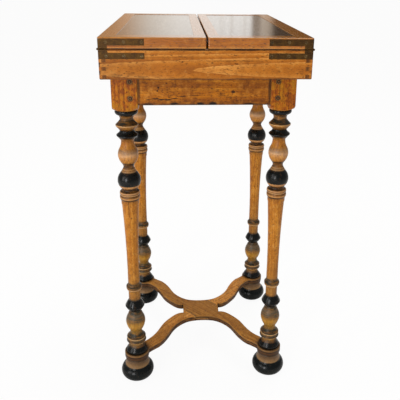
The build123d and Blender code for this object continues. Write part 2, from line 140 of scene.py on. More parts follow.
# %% Room
ROOM_LIGHT = 0.60
CARDS_REACH = 0.5      # radians to either side, past which the gloss sees even grey
CARDS = [
    # bearing behind the table in radians, positive to the right, and the colour mirrored there.
    # The thin darker lines at 0.080, 0.097 and 0.120 are the bars of a window.
    (-0.50, "#A0A0A0"), (-0.34, "#A39A90"), (-0.26, "#9E7A58"), (-0.115, "#B08C6A"),
    (-0.09, "#C8A88A"), (-0.05, "#E2D6C8"), (0.0, "#FAF4EC"), (0.077, "#FFFBF6"),
    (0.080, "#E6DED4"), (0.083, "#FFFBF6"), (0.094, "#FFFBF6"), (0.097, "#E0D8CE"),
    (0.100, "#FFFBF6"), (0.117, "#FFFBF6"), (0.120, "#E6DED4"), (0.123, "#FFFBF6"),
    (0.131, "#FFFBF6"), (0.137, "#8A7A6A"), (0.146, "#8F7F70"), (0.152, "#C6B7A6"),
    (0.164, "#BCAB98"), (0.176, "#342618"), (0.36, "#3E3023"), (0.48, "#A0A0A0"),
]
room = bpy.data.worlds.new("studio_room")
scene.world = room
room.use_nodes = True
tree = room.node_tree
tree.nodes.clear()
direction = add_node(tree, "ShaderNodeTexCoord")["Generated"]
parts = add_node(tree, "ShaderNodeSeparateXYZ", {0: direction})
bearing = add_node(tree, "ShaderNodeMath", {0: parts["X"], 1: parts["Y"]}, operation="ARCTAN2")[0]
across = add_node(
    tree, "ShaderNodeMapRange",
    {"Value": bearing, "From Min": -CARDS_REACH, "From Max": CARDS_REACH},
)[0]
mirrored = add_node(
    tree, "ShaderNodeValToRGB", {0: across},
    stops=[((turn + CARDS_REACH) / (2 * CARDS_REACH), colour) for turn, colour in CARDS],
)[0]
rays = add_node(tree, "ShaderNodeLightPath")
glossy = add_node(tree, "ShaderNodeBackground", {"Color": mirrored, "Strength": 1.0})[0]
white = add_node(tree, "ShaderNodeBackground", {"Color": linear("#FFFFFF"), "Strength": 1.0})[0]
light = add_node(
    tree, "ShaderNodeBackground", {"Color": linear("#FFFEFC"), "Strength": ROOM_LIGHT}
)[0]
lit = add_node(tree, "ShaderNodeMixShader", {0: rays["Is Glossy Ray"], 1: light, 2: glossy})[0]
clear = add_node(
    tree, "ShaderNodeMath",
    {0: rays["Is Camera Ray"], 1: rays["Is Transmission Ray"]}, operation="MAXIMUM",
)[0]
shown = add_node(tree, "ShaderNodeMixShader", {0: clear, 1: lit, 2: white})[0]
add_node(tree, "ShaderNodeOutputWorld", {"Surface": shown})
print(len(CARDS), "stops of mirrored cards")

# %% Lamps
LAMPS = {
    # name: (place in metres, what it points at, width and height in metres, watts)
    "left_window": ((-2.4, -1.5, 1.30), (0.0, 0.0, 0.42), (0.7, 1.7), 19.0),
    "front_softbox": ((-1.35, -2.5, 1.05), (0.0, 0.0, 0.42), (0.6, 1.3), 33.0),
    "back_softbox": ((0.6, 0.9, 2.9), (0.0, 0.0, 0.60), (1.4, 1.4), 26.0),
}
for name, (place, target, (width, height), watts) in LAMPS.items():
    lamp_data = bpy.data.lights.new(name, "AREA")
    lamp_data.shape = "RECTANGLE"
    lamp_data.size = width
    lamp_data.size_y = height
    lamp_data.energy = watts
    lamp = bpy.data.objects.new(name, lamp_data)
    lamp.location = place
    lamp.rotation_euler = (Vector(target) - Vector(place)).to_track_quat("-Z", "Y").to_euler()
    scene.collection.objects.link(lamp)
print(len(LAMPS), "lamps and a room of strength", ROOM_LIGHT)

# %% [markdown]
# ## Oak, step by step
# A board is a slice of a log, so its figure is the log's year rings, cut. That can be drawn as it
# is: the rings are a solid pattern round the log's middle line, and each piece says where that
# line ran past it. A slice along the rings then shows long arches, one across them shows narrow
# stripes, and the end of a board shows arcs, all without any picture. The rings wander slowly
# along the log, and they fade and deepen from year to year, which keeps them from looking ruled.

# %% Year rings
RING = 3.2 * MM        # usual width of a year's growth
WAVE_PERIOD = 2 * math.pi / 20    # the Wave Texture's own ring width, at a scale of 1
SWAY = 45.45 * MM      # the rings wander in curves about this wide
SWAY_RUN = (0.12, 1.0, 1.0)       # a small first number draws a pattern out along the log
BAND = 7 * MM          # width of the broad bands of light and dark that a plane leaves in the grain
BAND_RUN = (0.05, 1.0, 1.0)
BAND_SWING = 3.75      # how far the bands reach either way where the rings leave them room
GRAIN_X = (0.0, 0.0, 0.0)         # turns that lay the log along X, Y or Z
GRAIN_Y = (0.0, 0.0, math.pi / 2)
GRAIN_Z = (0.0, -math.pi / 2, 0.0)


def year_rings(tree, place, pith, turn, tones, ring, wander, ring_share):
    """The figure of a log whose middle runs past pith, in millimetres, along its own turned X."""
    log = add_node(
        tree, "ShaderNodeMapping",
        {"Vector": place, "Location": [v * MM for v in pith], "Rotation": turn},
        vector_type="TEXTURE",
    )[0]
    drawn_out = add_node(
        tree, "ShaderNodeVectorMath", {0: log, 1: SWAY_RUN}, operation="MULTIPLY"
    )[0]
    sway = add_node(
        tree, "ShaderNodeTexNoise",
        {"Vector": drawn_out, "Scale": 1 / SWAY, "Detail": 2.0, "Roughness": 0.5},
    )["Color"]
    centred = add_node(
        tree, "ShaderNodeVectorMath", {0: sway, 1: (0.5, 0.5, 0.5)}, operation="SUBTRACT"
    )[0]
    grain = add_node(
        tree, "ShaderNodeVectorMath",
        {0: centred, 1: (wander, wander, wander), 2: log}, operation="MULTIPLY_ADD",
    )[0]
    years = add_node(
        tree, "ShaderNodeTexWave",
        {"Vector": grain, "Scale": WAVE_PERIOD / ring, "Distortion": 0.6, "Detail": 2.0,
         "Detail Scale": 1.5, "Detail Roughness": 0.6},
        wave_type="RINGS", rings_direction="X", wave_profile="SAW",
    )["Fac"]
    band_run = add_node(
        tree, "ShaderNodeVectorMath", {0: grain, 1: BAND_RUN}, operation="MULTIPLY"
    )[0]
    bands = add_node(
        tree, "ShaderNodeTexNoise",
        {"Vector": band_run, "Scale": 1 / BAND, "Detail": 3.0, "Roughness": 0.6},
    )["Fac"]
    swing = BAND_SWING * (1 - ring_share)
    tone = add_node(
        tree, "ShaderNodeMath", {0: bands, 1: swing, 2: -swing / 2}, operation="MULTIPLY_ADD"
    )[0]
    figure = add_node(
        tree, "ShaderNodeMath", {0: years, 1: ring_share, 2: tone}, operation="MULTIPLY_ADD"
    )[0]
    shifted = add_node(
        tree, "ShaderNodeMath",
        {0: figure, 1: (1 - ring_share) / 2}, operation="ADD", use_clamp=True,
    )[0]
    return grain, add_node(tree, "ShaderNodeValToRGB", {0: shifted}, stops=tones["rings"])[0]


print("rings", round(RING / MM, 1), "mm wide, in bands of", round(BAND / MM, 1), "mm")

# %% [markdown]
# ### Fibres and pores
# Oak has long fibres and short open pores that catch dirt. On the real wood both are a fraction of
# a millimetre wide, which is too fine to show, so both are drawn several times as wide.

# %% Fibres and pores
FIBRE = 1.2 * MM
FIBRE_RUN = (0.03, 1.0, 1.0)
PORE = 1.3 * MM
PORE_RUN = (0.25, 1.0, 1.0)


def fibres_and_pores(tree, grain, colour, tones, streaks):
    """Darkens the wood along its fibres and in its pores. Streaks is how strongly, up to 1."""
    fibre_run = add_node(
        tree, "ShaderNodeVectorMath", {0: grain, 1: FIBRE_RUN}, operation="MULTIPLY"
    )[0]
    fibre = add_node(
        tree, "ShaderNodeTexNoise",
        {"Vector": fibre_run, "Scale": 1 / FIBRE, "Detail": 4.0, "Roughness": 0.62},
    )["Fac"]
    streak = add_node(
        tree, "ShaderNodeMapRange",
        {"Value": fibre, "From Min": 0.46, "From Max": 0.74, "To Max": streaks},
    )[0]
    colour = add_node(
        tree, "ShaderNodeMix", {0: streak, 6: colour, 7: linear(tones["streak"])}, data_type="RGBA"
    )[2]
    pore_run = add_node(
        tree, "ShaderNodeVectorMath", {0: grain, 1: PORE_RUN}, operation="MULTIPLY"
    )[0]
    pores = add_node(
        tree, "ShaderNodeTexNoise", {"Vector": pore_run, "Scale": 1 / PORE, "Detail": 1.0}
    )["Fac"]
    pore = add_node(
        tree, "ShaderNodeMapRange",
        {"Value": pores, "From Min": 0.59, "From Max": 0.67, "To Max": 0.8},
    )[0]
    colour = add_node(
        tree, "ShaderNodeMix", {0: pore, 6: colour, 7: linear(tones["pore"])}, data_type="RGBA"
    )[2]
    return fibre, pore, colour


print("fibres drawn", round(FIBRE / MM, 1), "mm wide and pores", round(PORE / MM, 1), "mm")

# %% [markdown]
# ### Wax, sun and hands
# Old wax yellows unevenly, and hands leave darker clouds. Two noises do this: one as broad as a
# hand, and one as small as a fingertip that only shows where it peaks.

# %% Clouds of wax
PATCH = 60 * MM
CLOUD = 11 * MM


def wax_clouds(tree, place, colour, tones, patches):
    """Broad patches of old wax, small dark clouds and, between those, small bleached ones."""
    patch = add_node(
        tree, "ShaderNodeTexNoise",
        {"Vector": place, "Scale": 1 / PATCH, "Detail": 4.0, "Roughness": 0.6},
    )["Fac"]
    toned = add_node(
        tree, "ShaderNodeMapRange",
        {"Value": patch, "From Min": 0.42, "From Max": 0.66, "To Max": patches},
    )[0]
    colour = add_node(
        tree, "ShaderNodeMix", {0: toned, 6: colour, 7: linear(tones["patch"])}, data_type="RGBA"
    )[2]
    clouds = add_node(
        tree, "ShaderNodeTexNoise",
        {"Vector": place, "Scale": 1 / CLOUD, "Detail": 5.0, "Roughness": 0.7},
    )["Fac"]
    touched = add_node(
        tree, "ShaderNodeMapRange",
        {"Value": clouds, "From Min": 0.52, "From Max": 0.72, "To Max": patches * 1.3},
    )[0]
    colour = add_node(
        tree, "ShaderNodeMix", {0: touched, 6: colour, 7: linear(tones["streak"])}, data_type="RGBA"
    )[2]
    bleached = add_node(
        tree, "ShaderNodeMapRange",
        {"Value": clouds, "From Min": 0.46, "From Max": 0.30, "To Max": patches * 0.7},
    )[0]
    colour = add_node(
        tree, "ShaderNodeMix", {0: bleached, 6: colour, 7: linear(tones["worn"])}, data_type="RGBA"
    )[2]
    return patch, clouds, colour


print("patches", round(PATCH / MM), "mm and clouds", round(CLOUD / MM), "mm wide")

# %% [markdown]
# ### Bruises, cracks and wormholes
# Each mark is a small soft ball of dark colour at its own place in the table, squashed to the
# shape of the mark. Noise pushes the place about first, so that no outline stays smooth.

# %% Marks
CRUMB = 2.2 * MM             # how far an outline may be pushed
CRUMB_SPACING = 3.846 * MM


def bruises(tree, place, colour, marks, mark_colour):
    """Marks are (centre, half sizes, depth), in millimetres, and the depth up to 1."""
    crumb = add_node(
        tree, "ShaderNodeTexNoise", {"Vector": place, "Scale": 1 / CRUMB_SPACING, "Detail": 3.0}
    )["Color"]
    crumbled = add_node(
        tree, "ShaderNodeVectorMath",
        {0: crumb, 1: (CRUMB, CRUMB, CRUMB), 2: place}, operation="MULTIPLY_ADD",
    )[0]
    marked = None
    for centre, size, depth in marks:
        spot = add_node(
            tree, "ShaderNodeMapping",
            {"Vector": crumbled, "Location": [v * MM + CRUMB / 2 for v in centre],
             "Scale": [v * MM for v in size]},
            vector_type="TEXTURE",
        )[0]
        ball = add_node(
            tree, "ShaderNodeTexGradient", {"Vector": spot}, gradient_type="SPHERICAL"
        )["Fac"]
        dark = add_node(
            tree, "ShaderNodeMapRange",
            {"Value": ball, "From Min": 0.0, "From Max": 0.5, "To Max": depth},
        )[0]
        marked = dark if marked is None else add_node(
            tree, "ShaderNodeMath", {0: marked, 1: dark}, operation="MAXIMUM"
        )[0]
    if marked is None:
        return colour
    return add_node(
        tree, "ShaderNodeMix", {0: marked, 6: colour, 7: linear(mark_colour)}, data_type="RGBA"
    )[2]


print("outlines of marks are pushed by up to", round(CRUMB / MM, 1), "mm")

# %% [markdown]
# ### Stain and painted light by height
# On turned work dirt and stain follow the lathe, so they run round a leg and depend only on
# height, and so do the painted highlights on the rims. One ramp of heights therefore serves all
# four legs. Its colours are what has settled there, or painted highlights, and on other pieces
# painted shade, and the last two digits of each say how thickly.

# %% Patina and painted light by height
LATHE_LINE = 2.4 * MM  # the fine rings that turning and wiping leave, drawn wider than they are
LATHE_RUN = (0.16, 0.16, 1.0)


def height_share(tree, place, low, high):
    """0 at the height low and 1 at the height high, in millimetres."""
    height = add_node(tree, "ShaderNodeSeparateXYZ", {0: place})["Z"]
    return add_node(
        tree, "ShaderNodeMapRange", {"Value": height, "From Min": low * MM, "From Max": high * MM}
    )[0]


def patina_and_light_by_height(tree, place, colour, patina_and_light):
    """Patina and painted light are (height in millimetres, colour and cover), from the lowest up.
    """
    low, high = patina_and_light[0][0], patina_and_light[-1][0]
    ramp = add_node(
        tree, "ShaderNodeValToRGB", {0: height_share(tree, place, low, high)},
        stops=[((height - low) / (high - low), cover) for height, cover in patina_and_light],
    )
    round_and_along = add_node(
        tree, "ShaderNodeVectorMath", {0: place, 1: LATHE_RUN}, operation="MULTIPLY"
    )[0]
    lines = add_node(
        tree, "ShaderNodeTexNoise",
        {"Vector": round_and_along, "Scale": 1 / LATHE_LINE, "Detail": 3.0, "Roughness": 0.6},
    )["Fac"]
    uneven = add_node(
        tree, "ShaderNodeMapRange",
        {"Value": lines, "From Min": 0.38, "From Max": 0.60, "To Min": 0.7, "To Max": 1.15},
    )[0]
    patina_and_light_cover = add_node(
        tree, "ShaderNodeMath", {0: ramp["Alpha"], 1: uneven}, operation="MULTIPLY", use_clamp=True
    )[0]
    return add_node(
        tree, "ShaderNodeMix", {0: patina_and_light_cover, 6: colour, 7: ramp["Color"]}, data_type="RGBA"
    )[2]


print("lathe lines drawn", round(LATHE_LINE / MM, 1), "mm apart")

# %% [markdown]
# ### Grime, painted shade and wear
# Dirt stays where a cloth can't reach, and edges that stand proud are rubbed pale. The ambient
# occlusion node finds both. Looking out from a surface it finds hollows, which it darkens with dirt
# and with painted shade. Looking inwards it finds thin places, which are the arrises. The stand's
# pieces never move apart, so there the node may also see a neighbour, and the joints and the tops
# of the aprons under the case get dirt and painted shade.

# %% Grime, painted shade and wear
AO_SAMPLES = 8


def grime_shade_and_wear(tree, colour, patch, clouds, tones, depth, grime_and_shade, edge, wear, neighbours):
    """Dirt and painted shade in hollows up to depth wide, and bare wood on arrises up to edge wide,
    in metres.
    """
    open_sky = add_node(
        tree, "ShaderNodeAmbientOcclusion",
        {"Distance": depth}, samples=AO_SAMPLES, only_local=not neighbours,
    )["AO"]
    ragged = add_node(
        tree, "ShaderNodeMath", {0: clouds, 1: 0.5, 2: open_sky}, operation="MULTIPLY_ADD"
    )[0]
    # hollows, and with neighbours the joints and the aprons' tops under the case, are darkened with
    # dirt and painted shade
    dirt = add_node(
        tree, "ShaderNodeMapRange",
        {"Value": ragged, "From Min": 0.68, "From Max": 1.16, "To Min": grime_and_shade, "To Max": 0.0},
    )[0]
    colour = add_node(
        tree, "ShaderNodeMix", {0: dirt, 6: colour, 7: linear(tones["grime_and_shade"])}, data_type="RGBA"
    )[2]
    if not wear:
        return None, colour
    solid = add_node(
        tree, "ShaderNodeAmbientOcclusion",
        {"Distance": edge}, samples=AO_SAMPLES, only_local=True, inside=True,
    )["AO"]
    spared = add_node(
        tree, "ShaderNodeMath", {0: patch, 1: 0.7, 2: solid}, operation="MULTIPLY_ADD"
    )[0]
    rubbed = add_node(
        tree, "ShaderNodeMapRange",
        {"Value": spared, "From Min": 0.80, "From Max": 1.15, "To Min": wear, "To Max": 0.0},
    )[0]
    colour = add_node(
        tree, "ShaderNodeMix", {0: rubbed, 6: colour, 7: linear(tones["worn"])}, data_type="RGBA"
    )[2]
    return rubbed, colour


print("hollows and arrises are felt with", AO_SAMPLES, "rays")

# %% [markdown]
# ### Black stain
# The turner held a black stain against the spinning rings and the ball, so the bands have crisp
# edges. The black is polished more than the wood beside it. It has scuffed to brown in spots, and
# a little on the rims.

# %% Black bands
BAND_EDGE_MM = 0.7     # over which the black fades out
SCUFF = 6.25 * MM


def black_bands(tree, place, rubbed, colour, shine, bands, low, high, stain, scuffed):
    """Bands are (bottom, top) in millimetres, between the heights low and high."""
    stops = []
    for bottom, top in bands:
        for edge, before, after in ((bottom, "#000000", "#FFFFFF"), (top, "#FFFFFF", "#000000")):
            stops.append((max(0.0, (edge - BAND_EDGE_MM / 2 - low) / (high - low)), before))
            stops.append((min(1.0, (edge + BAND_EDGE_MM / 2 - low) / (high - low)), after))
    band = add_node(
        tree, "ShaderNodeValToRGB", {0: height_share(tree, place, low, high)}, stops=stops
    )[0]
    scuffs = add_node(
        tree, "ShaderNodeTexNoise",
        {"Vector": place, "Scale": 1 / SCUFF, "Detail": 5.0, "Roughness": 0.65},
    )["Fac"]
    spots = add_node(
        tree, "ShaderNodeMapRange",
        {"Value": scuffs, "From Min": 0.56, "From Max": 0.70, "To Max": 0.4},
    )[0]
    bare = add_node(
        tree, "ShaderNodeMath", {0: rubbed, 1: 0.35, 2: spots}, operation="MULTIPLY_ADD"
    )[0]
    stained = add_node(
        tree, "ShaderNodeMix", {0: bare, 6: linear(stain), 7: linear(scuffed)}, data_type="RGBA"
    )[2]
    colour = add_node(tree, "ShaderNodeMix", {0: band, 6: colour, 7: stained}, data_type="RGBA")[2]
    polish = add_node(
        tree, "ShaderNodeMapRange",
        {"Value": scuffs, "From Min": 0.35, "From Max": 0.7, "To Min": 0.20, "To Max": 0.34},
    )[0]
    return band, colour, add_node(tree, "ShaderNodeMix", {0: band, 2: shine, 3: polish})[0]


print("scuffs", SCUFF / MM, "mm wide")

# %% [markdown]
# ### The whole wood
# The layers above go on in the order in which the years put them there: wood, wax, stain, marks,
# dirt and wear. The stain layer also carries painted highlights and painted shade, and the dirt
# layer painted shade. The wax itself fills the pores unevenly, so the shine breaks up with the
# grain.
# Wax mirrors less than varnish does, which keeps the colours deep, so its index is set lower.

# %% Waxed oak
WAX_IOR = 1.30
SHELLAC_IOR = 1.45     # for the parts that are French polished
PORE_DEPTH = 0.3 * MM


def oak(name, pith, turn, tones, ring=RING, wander=4 * MM, ring_share=0.6, streaks=0.35,
        patches=0.5, darken=None, patina_and_light=(), marks=(), mark_colour="#1E1006", depth=8 * MM,
        grime_and_shade=0.8, edge=2.5 * MM, wear=0.5, neighbours=False, bands=None, roughness=0.42,
        bump=0.25, ior=WAX_IOR, coat=0.0):
    """A waxed oak whose log's middle runs past pith in millimetres, along its own turned X."""
    wood = bpy.data.materials.new(name)
    wood.use_nodes = True
    tree = wood.node_tree
    tree.nodes.clear()
    place = add_node(tree, "ShaderNodeTexCoord")["Object"]
    grain, colour = year_rings(tree, place, pith, turn, tones, ring, wander, ring_share)
    fibre, pore, colour = fibres_and_pores(tree, grain, colour, tones, streaks)
    patch, clouds, colour = wax_clouds(tree, place, colour, tones, patches)
    if darken:
        colour = darken(tree, place, clouds, colour)
    for layer in patina_and_light:
        colour = patina_and_light_by_height(tree, place, colour, layer)
    colour = bruises(tree, place, colour, marks, mark_colour)
    rubbed, colour = grime_shade_and_wear(
        tree, colour, patch, clouds, tones, depth, grime_and_shade, edge, wear, neighbours
    )
    shine = add_node(
        tree, "ShaderNodeMapRange",
        {"Value": fibre, "From Min": 0.3, "From Max": 0.7, "To Min": roughness - 0.07,
         "To Max": roughness + 0.10},
    )[0]
    relief = add_node(tree, "ShaderNodeMath", {0: fibre, 1: pore}, operation="SUBTRACT")[0]
    if bands:
        band, colour, shine = black_bands(tree, place, rubbed, colour, shine, **bands)
        relief = add_node(tree, "ShaderNodeMix", {0: band, 2: relief, 3: 0.0})[0]
    raised = add_node(
        tree, "ShaderNodeBump", {"Strength": bump, "Distance": PORE_DEPTH, "Height": relief}
    )[0]
    skin = add_node(
        tree, "ShaderNodeBsdfPrincipled",
        {"Base Color": colour, "Roughness": shine, "Normal": raised, "IOR": ior,
         "Coat Weight": coat, "Coat Roughness": 0.10},
    )
    add_node(tree, "ShaderNodeOutputMaterial", {"Surface": skin[0]})
    return wood


finishes = {}
print("index of wax", WAX_IOR, "and of shellac", SHELLAC_IOR)

# %% [markdown]
# ### Legs
# Each leg is one turned length of oak. It is black on the foot ring, on the broad ring above
# that, on the ball with a thin line above it, on the next ring and under the block. Brown patina
# lies on the flanks of the rings and in the necks, and it thickens towards the floor, where mops
# and shoes reach. Pale lines on the rims are painted highlights. Three rows of heights say where,
# one for each part of the leg.

# %% Black, patina and painted highlights of the legs
LEG_BANDS = {
    "bands": [
        (60.0, 80.0), (170.5, 198.0), (462.5, 488.5), (506.0, 508.2), (560.0, 575.0),
        (604.0, 614.5),
    ],
    "low": 60.0, "high": 640.0, "stain": "#090B0A", "scuffed": "#4E3218",
}
# in these three rows the pale stops on the rims are painted highlights, and the dark stops are
# patina
LOWER_PATINA_AND_HIGHLIGHTS = [
    (80, "#24201AF0"), (84, "#564830B0"), (92.5, "#A88C5C90"), (94.5, "#362E1EF8"),
    (101, "#42382AF0"), (102.8, "#C8A87890"), (104.2, "#24221AF0"), (112, "#2A281CF0"),
    (116, "#5A4A24C8"), (125, "#6A541CA0"), (137, "#A0802C70"), (143, "#76602888"),
    (148, "#464030C0"), (153, "#484030F0"), (161, "#5C4E3CF8"), (165, "#2A2C22F0"),
    (198, "#2E2618D0"), (202, "#5A452890"), (219, "#6A522E70"), (221.5, "#3A2E1CC0"),
    (223.5, "#D0AC7CA0"), (226.0, "#5A4426A0"), (229, "#2C281CF0"), (238, "#2C281CF0"),
    (241, "#5A442680"), (246, "#6A522E40"), (300, "#6A522E00"),
]
MIDDLE_PATINA_AND_HIGHLIGHTS = [
    (422, "#5A3A1800"), (429, "#4A2E1260"), (430.6, "#22150AF0"), (433.2, "#2A1C0EC0"),
    (435, "#C8966098"), (437.5, "#5A3E22B0"), (440.4, "#2E2012D0"), (442, "#D0A47498"),
    (444, "#2E2012D8"), (446.4, "#C8986898"), (448.2, "#2E2012F0"), (456, "#33241AE0"),
    (458.5, "#9A7450A0"), (462, "#C89C6C90"), (488.5, "#332A1ED0"), (490.5, "#9A805E98"),
    (492.5, "#4A3A28C0"), (494.5, "#967C5A90"), (496.5, "#3E2C1AD0"), (504, "#332010E0"),
    (509, "#4E3216A0"), (513, "#6A522E30"), (521, "#C8A07840"), (526, "#D0B09070"),
    (530, "#8A786698"), (535, "#74645090"), (540, "#8A5A2450"), (549, "#7A401468"),
    (556, "#4A2E14A0"), (559.5, "#2E2010C8"), (562, "#3A261200"),
]
UPPER_PATINA_AND_HIGHLIGHTS = [
    (574, "#3A2C1800"), (576, "#2E2214D0"), (580, "#4A3420A0"), (583.4, "#7A5A3490"),
    (584.7, "#D0AA7890"), (585.8, "#26221AF8"), (594, "#28241AF0"), (597, "#4A341CD0"),
    (603, "#34261AD8"), (616, "#4A342000"),
]
print("legs have", len(LEG_BANDS["bands"]), "black bands")

# %% [markdown]
# The square blocks were planed, so the wax lies on them in clouds of dark and pale, and the whole
# block is painted darker than the turnings, as painted shade under the case. Two pegs hold each
# joint, with a ring of dirt round each. The ring is drawn by how far a point is from the nearest
# peg. The table is folded over its middle planes first, so that one peg serves them all.

# %% Blocks and pegs
BLOCK_BOTTOM_MM = 614.5
BLOCK_EDGE_MM = 2.0    # over which the clouds fade in
PEG_PLACE_MM = 137.3   # how far the pegs are from the table's middle planes
PEG_HEIGHTS_MM = (640.0, 671.0)
PEG_REACH_MM = 8.0
PEG_RAGGED_MM = 1.6    # how unevenly the dirt ends
leg_tones = {
    "rings": [(0.0, "#985810"), (0.3, "#AC6A18"), (0.6, "#BE7A20"), (1.0, "#D08E38")],
    "streak": "#74400C", "pore": "#3E2008", "patch": "#985810",
    "grime_and_shade": "#1C1208", "worn": "#D8A658",
}


def peg_rings(tree, place, clouds, colour):
    """A ring of dirt round each peg, which serves the blocks and the pegs themselves."""
    parts = add_node(tree, "ShaderNodeSeparateXYZ", {0: place})
    aside = []
    for axis in ("X", "Y"):
        reach = add_node(tree, "ShaderNodeMath", {0: parts[axis]}, operation="ABSOLUTE")[0]
        off = add_node(
            tree, "ShaderNodeMath", {0: reach, 1: PEG_PLACE_MM * MM}, operation="SUBTRACT"
        )[0]
        aside.append(add_node(tree, "ShaderNodeMath", {0: off}, operation="ABSOLUTE")[0])
    across = add_node(tree, "ShaderNodeMath", {0: aside[0], 1: aside[1]}, operation="MINIMUM")[0]
    low, high = PEG_HEIGHTS_MM
    rise = add_node(
        tree, "ShaderNodeMath", {0: parts["Z"], 1: (low + high) / 2 * MM}, operation="SUBTRACT"
    )[0]
    folded = add_node(tree, "ShaderNodeMath", {0: rise}, operation="ABSOLUTE")[0]
    up = add_node(
        tree, "ShaderNodeMath", {0: folded, 1: (high - low) / 2 * MM}, operation="SUBTRACT"
    )[0]
    from_peg = add_node(tree, "ShaderNodeCombineXYZ", {"X": across, "Y": up})[0]
    radius = add_node(tree, "ShaderNodeVectorMath", {0: from_peg}, operation="LENGTH")["Value"]
    ragged = add_node(
        tree, "ShaderNodeMath",
        {0: clouds, 1: PEG_RAGGED_MM * MM, 2: radius}, operation="MULTIPLY_ADD",
    )[0]
    share = add_node(
        tree, "ShaderNodeMapRange", {"Value": ragged, "From Max": PEG_REACH_MM * MM}
    )[0]
    ring = add_node(
        tree, "ShaderNodeValToRGB", {0: share},
        stops=[(0.20, "#5A3412A0"), (0.36, "#2A180AF0"), (0.66, "#2A180AE0"), (0.92, "#3A240E00")],
    )
    return add_node(
        tree, "ShaderNodeMix", {0: ring["Alpha"], 6: colour, 7: ring["Color"]}, data_type="RGBA"
    )[2]


def shaded_block_and_pegs(tree, place, clouds, colour):
    """The square block's clouds, its painted shade and its pegs, which leave the turning below as
    it is.
    """
    height = add_node(tree, "ShaderNodeSeparateXYZ", {0: place})["Z"]
    above = add_node(
        tree, "ShaderNodeMapRange",
        {"Value": height, "From Min": BLOCK_BOTTOM_MM * MM,
         "From Max": (BLOCK_BOTTOM_MM + BLOCK_EDGE_MM) * MM},
    )[0]
    # the block is multiplied darker than the turning: clouds of wax, and painted shade under the
    # case
    mottled = add_node(
        tree, "ShaderNodeValToRGB", {0: clouds},
        stops=[(0.38, "#B48828"), (0.49, "#E4C444"), (0.58, "#FFFF78")],
    )[0]
    planed_and_shaded = add_node(
        tree, "ShaderNodeMix", {0: above, 6: colour, 7: mottled}, data_type="RGBA",
        blend_type="MULTIPLY",
    )[2]
    return peg_rings(tree, place, clouds, planed_and_shaded)


print("pegs at heights of", PEG_HEIGHTS_MM, "mm")

# %% Legs
LEG_MARKS = [
    # centre and half sizes in millimetres, depth
    ((-150.0, -164, 418), (1.0, 8, 22), 0.8),
    ((-158.0, -168, 655), (1.2, 6, 26), 0.6),
    ((140.0, -172, 662), (1.2, 6, 24), 0.6),
    ((156.0, -172, 648), (1.0, 6, 20), 0.5),
]
finishes["leg"] = oak(
    "turned_oak_with_black_rings", (40, 60, 0), GRAIN_Z, leg_tones, ring=5.2 * MM, wander=14 * MM,
    darken=shaded_block_and_pegs, patina_and_light=[LOWER_PATINA_AND_HIGHLIGHTS, MIDDLE_PATINA_AND_HIGHLIGHTS, UPPER_PATINA_AND_HIGHLIGHTS], marks=LEG_MARKS,
    depth=4.5 * MM, grime_and_shade=0.95, edge=2.2 * MM, neighbours=True, bands=LEG_BANDS, roughness=0.37,
    bump=0.2,
)
print("leg finish has", len(finishes["leg"].node_tree.nodes), "nodes")

# %% [markdown]
# ### Feet
# The bun feet are stained black up to a groove, and the cove and bead above stay brown, with
# painted highlights just above the groove and on the bead. Their hollows are darkened further than
# on the rings, with dirt where shoes and brooms get there, and with painted shade.

# %% Bun feet
foot_tones = dict(
    leg_tones, rings=[(0.0, "#4A3422"), (0.3, "#5E442E"), (1.0, "#745840")], patch="#54402C",
    streak="#3C2A1A", worn="#A48464"
)
# the pale stops just above the groove and on the bead are painted highlights, and the dark stops
# are patina
FOOT_PATINA_AND_HIGHLIGHTS = [
    (31, "#0C0C0AFF"), (32.5, "#1E180EF0"), (34, "#9E784A98"), (38, "#8E6A4080"), (43, "#664A2C88"),
    (48, "#5A422AB0"), (51, "#2E2214E0"), (53, "#8A6C4890"), (56, "#5A4630B0"),
]
FOOT_BANDS = {
    "bands": [(-4.0, 32.0)], "low": -5.0, "high": 55.0, "stain": "#080C0C", "scuffed": "#3A2C1E",
}
finishes["foot"] = oak(
    "turned_oak_bun_stained_black", (20, 35, 0), GRAIN_Z, foot_tones, ring=2.6 * MM,
    patina_and_light=[FOOT_PATINA_AND_HIGHLIGHTS], depth=10 * MM, wear=0.6, neighbours=True, roughness=0.36,
    bands=FOOT_BANDS,
)
print("feet are black up to", FOOT_BANDS["bands"][0][1], "mm")

# %% [markdown]
# ### Stretcher
# Two boards cross in a half-lap, and each was sawn from wider stuff, so the grain runs straight
# along the diagonal while the outline swings across it. Feet have rubbed the top. The sides are
# dark and the lower edges darker, a dark line runs round the sides, a painted highlight runs along
# the upper arris, and the pads are as dark as the feet they stand on. So are the two lines where
# the boards meet. The lower board is drawn paler than the upper one, as it is on the real table.

# %% Stretcher
PAD_START_MM = 178     # how far from the table's middle the round pads begin to darken
PAD_FADE_MM = 14
PAD_DARK = 0.9
LAP_LINE_MM = 48.1     # how far x + y is from zero along the joint, with the board 68 mm wide there
LAP_HALF_WIDTH_MM = 1.7
LAP_DARK = 1.7         # above 1, so that the line thins only in the pale clouds
stretcher_tones = {
    "rings": [(0.0, "#885216"), (0.3, "#9C621C"), (0.6, "#AE7226"), (1.0, "#BE8434")],
    "streak": "#6E4414", "pore": "#3E2812", "patch": "#8A5A20",
    "grime_and_shade": "#1C1208", "worn": "#C09050",
}
# dark from the lower edge up the sides, a dark line round the sides, and a painted highlight along
# the upper arris
STRETCHER_PATINA_AND_HIGHLIGHT = [
    (51, "#100804FF"), (52.6, "#1E1208F8"), (54, "#3E240EF0"), (58.6, "#4C2E14E8"),
    (59.6, "#1C1008F8"), (61.0, "#1C1008F8"), (61.8, "#553414E0"), (64.4, "#8E6434A0"),
    (65.9, "#96703C00"),
]


